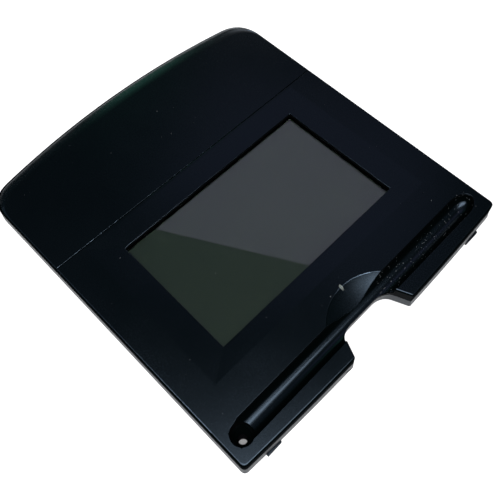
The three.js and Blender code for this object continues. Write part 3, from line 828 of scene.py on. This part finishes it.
def stripes(look, pitch_mm, threshold):
    """Thin stripes across X and across Y, where a sine wave of that pitch is above the threshold."""
    spots = look.coordinates()
    turns = 2 * math.pi / (pitch_mm * MM)
    waves = [look.math("SINE", look.product(spots[axis], turns)) for axis in ("X", "Y")]
    return [look.math("GREATER_THAN", wave, threshold) for wave in waves]


def glass_look():
    """Clear hard-coated cover glass with faint smears and a few specks."""
    look = Look("window_glass", transmission_weight=1.0, ior=1.8, base_color=(0.93, 0.96, 0.95, 1))
    specks = look.specks(6, 0.12, 0.35)
    haze = look.spread(look.noise(9, 4), 0.004, 0.03, 0.35, 0.7)
    look.set("Roughness", look.math("MAXIMUM", haze, look.product(specks, 0.8)))
    return look.material


# The picture area in plan, and the pitch of its cells.
PICTURE = (
    (-0.4, (WINDOW["y0"] + WINDOW["y1"]) / 2 - 0.45),
    WINDOW["half_x"] - 0.2,
    (WINDOW["y1"] - WINDOW["y0"]) / 2 - 0.15,
)
CELL_PITCH = 0.135


def lcd_look():
    """The unlit display: a grey-green stack with a faint grid of picture cells and a black border."""
    look = Look("lcd_face", roughness=0.32)
    grid = look.math("MAXIMUM", *stripes(look, CELL_PITCH, 0.92))
    face = look.ramp(look.noise(30, 2), [(0.3, (0.050, 0.080, 0.045)), (0.7, (0.056, 0.086, 0.049))])
    face = look.mix(look.product(grid, 0.3), face, (0.012, 0.015, 0.013))
    look.set("Base Color", look.mix(look.near(*PICTURE), (0.003, 0.003, 0.003), face))
    return look.material


def plain_look(name, low, high, roughness, grain_mm, metallic=0.0, depth=0.01, stretch=(1, 1, 1)):
    """A surface whose colour, roughness and height vary with one grain, which can be stretched."""
    look = Look(name, metallic=metallic)
    place = look.node("ShaderNodeMapping", {"Vector": look.place, "Scale": stretch}).outputs["Vector"]
    grain = look.noise(grain_mm, 4, place)
    patch = look.noise(grain_mm * 12, 2, place)
    shade = look.product(look.math("ADD", grain, patch), 0.5)
    look.set("Base Color", look.ramp(shade, [(0.35, low), (0.65, high)]))
    look.set("Roughness", look.spread(grain, roughness - 0.07, roughness + 0.07, 0.3, 0.7))
    look.bump(grain, depth)
    return look.material


TRACK_PITCH = 0.9


def board_look():
    """Solder mask over bundles of copper tracks, with round pads here and there."""
    look = Look("circuit_board", roughness=0.38)
    along_y, along_x = stripes(look, TRACK_PITCH, 0.35)
    lengthwise = look.math("GREATER_THAN", look.noise(16, 0), 0.5)
    along_y = look.product(along_y, lengthwise)
    along_x = look.product(along_x, look.inverse(lengthwise))
    tracks = look.math("ADD", along_y, along_x)
    tracks = look.product(tracks, look.math("GREATER_THAN", look.noise(9, 0), 0.47))
    mask = look.ramp(look.noise(8, 3), [(0.3, (0.006, 0.055, 0.020)), (0.7, (0.009, 0.075, 0.028))])
    tracked = look.mix(tracks, (0.020, 0.120, 0.040), mask)
    pads = look.specks(5, 0.8, 0.6)
    look.set("Base Color", look.mix(pads, tracked, (0.75, 0.60, 0.32)))
    look.bump(look.math("ADD", tracks, pads), 0.03)
    return look.material


MATERIALS = {
    "black_abs": black_plastic(
        "black_abs",
        ((0.0010, 0.0026, 0.0026), (0.0016, 0.0030, 0.0034)),
        roughness=0.25,
        grain_mm=0.3,
        grain_depth=0.006,
        dust=0.5,
        is_top=True,
    ),
    "black_abs_lower": black_plastic(
        "black_abs_lower",
        ((0.004, 0.004, 0.005), (0.006, 0.006, 0.007)),
        roughness=0.42,
        grain_mm=0.5,
        grain_depth=0.02,
        dust=0.1,
        is_top=False,
    ),
    "window_glass": glass_look(),
    "foam": plain_look("foam", (0.006, 0.006, 0.006), (0.016, 0.016, 0.016), 0.9, 0.25, depth=0.08),
    "lcd": lcd_look(),
    "diffuser": plain_look("diffuser", (0.75, 0.75, 0.72), (0.86, 0.86, 0.83), 0.5, 0.6),
    "sheet_steel": plain_look(
        "sheet_steel", (0.42, 0.42, 0.41), (0.6, 0.6, 0.59), 0.33, 0.4, 1.0, 0.004, (0.04, 1, 1)
    ),
    "circuit_board": board_look(),
    "chip": plain_look("chip", (0.010, 0.010, 0.011), (0.022, 0.022, 0.023), 0.55, 0.2),
    "connector": plain_look("connector", (0.62, 0.57, 0.46), (0.74, 0.69, 0.57), 0.5, 0.35),
    "latch": plain_look("latch", (0.022, 0.016, 0.012), (0.040, 0.030, 0.024), 0.5, 0.3),
    "ribbon": plain_look(
        "ribbon", (0.55, 0.56, 0.57), (0.72, 0.73, 0.74), 0.4, 0.5, stretch=(1, 0.03, 1)
    ),
    "screw_steel": plain_look("screw_steel", (0.05, 0.05, 0.055), (0.11, 0.11, 0.115), 0.34, 0.3, 1.0),
    "rubber": plain_look("rubber", (0.008, 0.006, 0.011), (0.017, 0.014, 0.021), 0.85, 0.3, depth=0.04),
}

# ---- Shells in place of the coarse ones ---------------------------------------------------------

for name, build, slot in (
    ("display_housing", display_housing, "black_abs"),
    ("rear_cover", rear_cover, "black_abs"),
    ("bottom_case", bottom_case, "black_abs_lower"),
):
    shell_mesh = build()
    mark_edges(shell_mesh)
    add_shell(shell_mesh, name + "_shell", slot, name)

# ---- CAD nodes that keep their shape ------------------------------------------------------------

WELD_DISTANCE = 1e-6
# The bevel of a CAD piece: this wide in millimetres, or this share of its thinnest side if that is less.
CAD_ROUND = 0.15
CAD_ROUND_SHARE = 0.12
CAD_CREASE = math.radians(35)

slot_of = {part["node"]: part["material_slot"] for part in frame["record"]["subparts"]}
replaced = {"display_housing", "rear_cover", "bottom_case"}

for name, node in frame["nodes"].items():
    if name in replaced:
        continue
    node.data.materials.clear()
    node.data.materials.append(MATERIALS[slot_of[name]])
    for polygon in node.data.polygons:
        polygon.use_smooth = True
    weld = node.modifiers.new("weld", "WELD")
    weld.merge_threshold = WELD_DISTANCE
    low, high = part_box(name)
    rounding = node.modifiers.new("rounding", "BEVEL")
    rounding.width = min(CAD_ROUND * MM, CAD_ROUND_SHARE * min(high - low))
    rounding.segments = 2
    rounding.angle_limit = CAD_CREASE
    normals = node.modifiers.new("normals", "WEIGHTED_NORMAL")
    normals.keep_sharp = True

# ---- Camera -------------------------------------------------------------------------------------

CAMERA_PLACE = Vector((-88.8, -111.45, 235.6)) * MM
CAMERA_HEADING = math.radians(41.31)
CAMERA_DIP = math.radians(63.43)
CAMERA_ROLL = math.radians(-3.69)
CAMERA_LENS = 38.45

forward = Vector(
    (
        math.sin(CAMERA_HEADING) * math.cos(CAMERA_DIP),
        math.cos(CAMERA_HEADING) * math.cos(CAMERA_DIP),
        -math.sin(CAMERA_DIP),
    )
)
level = Vector((math.cos(CAMERA_HEADING), -math.sin(CAMERA_HEADING), 0))
upright = level.cross(forward)
right = math.cos(CAMERA_ROLL) * level + math.sin(CAMERA_ROLL) * upright
up = right.cross(forward)

camera_data = bpy.data.cameras.new("camera")
camera_data.lens = CAMERA_LENS
camera_data.clip_start = 0.01
camera = bpy.data.objects.new("camera", camera_data)
camera.matrix_world = Matrix.Translation(CAMERA_PLACE) @ Matrix((right, up, -forward)).transposed().to_4x4()
bpy.context.scene.collection.objects.link(camera)
bpy.context.scene.camera = camera

# ---- Floor, light and background ----------------------------------------------------------------

FLOOR_HALF = 3.0
FLOOR_GLOW = 0.88
# The dimmer glow of the floor where a shadow is painted under the pad.
PAINTED_SHADOW_GLOW = 0.15
# The parts of the floor, in plan, under the pad and under its drain, where a shadow is painted by dimming the
# floor's glow.
PAINTED_SHADOW_UNDER_PAD = ((0, -4), 79, 77)
PAINTED_SHADOW_UNDER_DRAIN = ((DRAIN["x"], DRAIN["y"]), 5, 5)


def make_floor():
    """A pale floor that can be seen through from below, so that the underside can be looked at."""
    ring = rectangle(-FLOOR_HALF, FLOOR_HALF, -FLOOR_HALF, FLOOR_HALF)
    mesh = bpy.data.meshes.new("floor")
    mesh.from_pydata([(x, y, 0) for x, y in ring], [], [(0, 1, 2, 3)])
    floor = bpy.data.objects.new("floor", mesh)
    bpy.context.scene.collection.objects.link(floor)
    look = Look("floor", roughness=0.7)
    # A painted shadow: the floor glows less under the pad and under its drain.
    under = look.math("MAXIMUM", look.near(*PAINTED_SHADOW_UNDER_PAD), look.near(*PAINTED_SHADOW_UNDER_DRAIN))
    look.set("Emission Strength", look.spread(under, FLOOR_GLOW, PAINTED_SHADOW_GLOW))
    look.shader.inputs["Emission Color"].default_value = (1, 1, 1, 1)
    look.set("Base Color", look.grey_ramp(look.noise(60, 3), [(0.3, 0.80), (0.7, 0.84)]))
    clear = look.node("ShaderNodeBsdfTransparent")
    side = look.node("ShaderNodeNewGeometry").outputs["Backfacing"]
    both = look.node("ShaderNodeMixShader", {0: side, 1: look.shader.outputs[0], 2: clear.outputs[0]})
    look.tree.links.new(both.outputs[0], look.tree.nodes["Material Output"].inputs["Surface"])
    mesh.materials.append(look.material)


def area_light(name, place, size, brightness, along=(1, 0, 0), color=(1, 1, 1), target=None):
    """A soft rectangular light of one brightness, whatever its size, with its width along a direction.

    It faces its target, or faces down without one."""
    data = bpy.data.lights.new(name, "AREA")
    data.shape = "RECTANGLE"
    data.size, data.size_y = size
    data.energy = brightness * math.pi * size[0] * size[1]
    data.color = color
    light = bpy.data.objects.new(name, data)
    back = (Vector(place) - Vector(target)).normalized() if target else Vector((0, 0, 1))
    side = (Vector(along) - back * back.dot(Vector(along))).normalized()
    turned = Matrix((side, back.cross(side), back)).transposed().to_4x4()
    light.matrix_world = Matrix.Translation(place) @ turned
    bpy.context.scene.collection.objects.link(light)


make_floor()

# The ceiling panel whose edge the window reflects as a slanting line.
PANEL_HEIGHT = 1.0
EDGE_START = Vector((0.188, 0.552, PANEL_HEIGHT))
EDGE_END = Vector((0.387, 0.208, PANEL_HEIGHT))
PANEL_SIZE = (0.68, 0.55)
PANEL_LEAD = 0.02
edge = (EDGE_END - EDGE_START).normalized()
outward = Vector((-edge.y, edge.x, 0))
panel_centre = EDGE_START + edge * (PANEL_SIZE[0] / 2 - PANEL_LEAD) + outward * (PANEL_SIZE[1] / 2)
area_light("window_panel", panel_centre, PANEL_SIZE, 0.235, along=edge, color=(0.76, 0.68, 1.0))

# The main softbox, above and in front of the pad, with two dimmer strips beyond its front and its left.
PAD_FRONT = Vector((-0.05, -0.083, 0.0145))
BOX_ALONG = Vector((0.78, -0.62, 0))
TOWARDS_FRONT = Vector((-0.62, -0.78, 0))
box_centre = Vector((-0.025, -0.031, 1.2)) + TOWARDS_FRONT * 0.4
STRIP_SIZE = (0.6, 0.22)
area_light("softbox", box_centre, (1.0, 0.8), 3.8, along=BOX_ALONG)
area_light("strip", (0.0, -0.92, 1.1), STRIP_SIZE, 1.5, target=PAD_FRONT)
area_light("side_strip", (-1.0, 0.05, 1.1), STRIP_SIZE, 1.5, along=(0, 1, 0), target=PAD_FRONT)

# Two dim cards far behind the pad, which the rolled back edge picks up.
GREEN = (0.3, 1, 0.62)
CREAM = (1, 0.95, 0.93)
area_light("green_card", (0.42, 1.1, 0.47), (0.28, 0.8), 0.28, color=GREEN, target=PAD_FRONT)
area_light("pale_card", (0.9, 0.9, 0.5), (0.3, 0.4), 1.0, color=CREAM, target=PAD_FRONT)

# The room's colours, from the horizon up.
ROOM_STOPS = ((0.0, (0.02, 0.02, 0.02)), (0.4, (0.02, 0.03, 0.035)), (0.8, (0.036, 0.045, 0.06)))


def make_world():
    """A pale backdrop for the camera around a dark room that the glossy parts reflect."""
    world = bpy.data.worlds.new("studio")
    world.use_nodes = True
    tree = world.node_tree
    seen = tree.nodes.new("ShaderNodeLightPath").outputs["Is Camera Ray"]
    direction = tree.nodes.new("ShaderNodeTexCoord").outputs["Generated"]
    parts = tree.nodes.new("ShaderNodeSeparateXYZ")
    tree.links.new(direction, parts.inputs[0])
    ramp = tree.nodes.new("ShaderNodeValToRGB")
    fill_ramp(ramp, ROOM_STOPS)
    tree.links.new(parts.outputs["Z"], ramp.inputs["Fac"])
    shown = tree.nodes.new("ShaderNodeMix")
    shown.data_type = "RGBA"
    tree.links.new(seen, shown.inputs[0])
    tree.links.new(ramp.outputs["Color"], shown.inputs[6])
    shown.inputs[7].default_value = (1, 1, 1, 1)
    tree.links.new(shown.outputs[2], tree.nodes["Background"].inputs["Color"])
    bpy.context.scene.world = world


make_world()
bpy.context.scene.view_settings.view_transform = "Standard"
